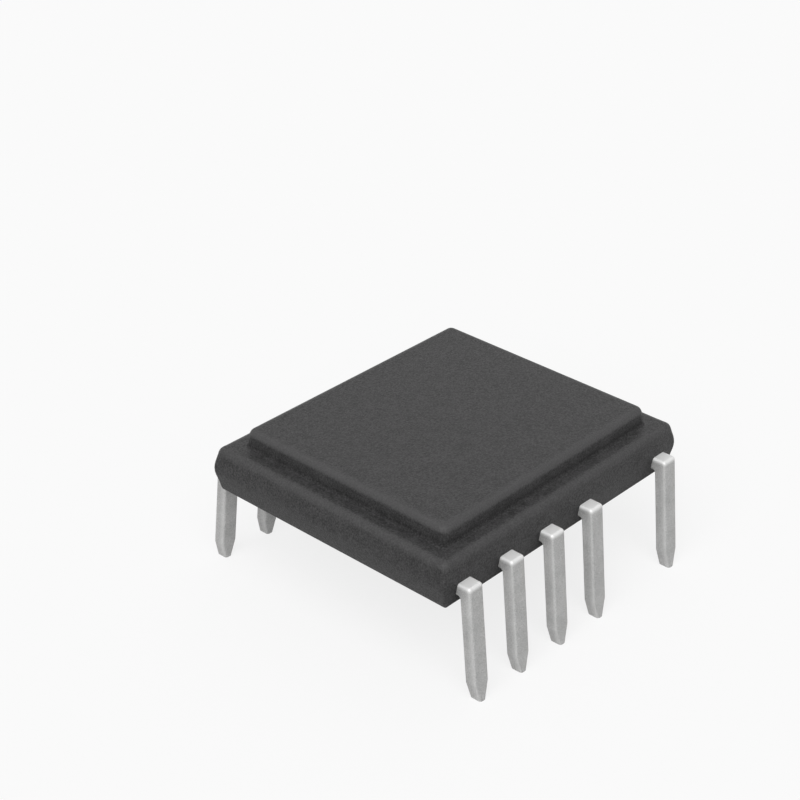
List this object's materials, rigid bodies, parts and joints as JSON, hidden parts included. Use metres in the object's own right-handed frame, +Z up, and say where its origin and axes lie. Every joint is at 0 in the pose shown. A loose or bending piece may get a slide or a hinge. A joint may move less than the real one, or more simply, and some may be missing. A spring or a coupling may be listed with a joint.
{
  "type": "offline switcher chip",
  "caption": "Power switcher chip: dark moulded body with a raised platform, tinned leads bent down along two sides, one lead position left empty, round stand-offs below.",
  "frame": {"origin": "on the plane of the lead tips, midway between the two rows and the two ends of the body", "axes": "+X along the lead rows from position 1 to position 6, +Y from the near row (five leads) to the far row (six leads), +Z up, from the lead tips to the platform"},
  "size_m": [0.0106, 0.0108, 0.0051],
  "materials": {
    "mould_compound": "fine-grained matte",
    "tinned_copper": "satin tin plating",
    "silicon": "polished",
    "die_attach_solder": "dull",
    "bond_wire": "drawn",
    "standoff_disc": "smooth matte"
  },
  "bodies": {
    "root": {"moulded_body": "mould_compound", "paddle_with_leads_7_to_12": "tinned_copper", "die_attach": "die_attach_solder", "silicon_die": "silicon", "lead_1": "tinned_copper", "lead_2": "tinned_copper", "lead_3": "tinned_copper", "lead_4": "tinned_copper", "lead_6": "tinned_copper", "bond_wire_lead_1": "bond_wire", "bond_wire_lead_2": "bond_wire", "bond_wire_lead_3": "bond_wire", "bond_wire_lead_4": "bond_wire", "bond_wire_lead_6_a": "bond_wire", "bond_wire_lead_6_b": "bond_wire", "bond_wire_paddle_a": "bond_wire", "bond_wire_paddle_b": "bond_wire", "bond_wire_paddle_c": "bond_wire", "standoff_disc_1": "standoff_disc", "standoff_disc_2": "standoff_disc", "standoff_disc_3": "standoff_disc", "standoff_disc_4": "standoff_disc"}
  },
  "joints": []
}
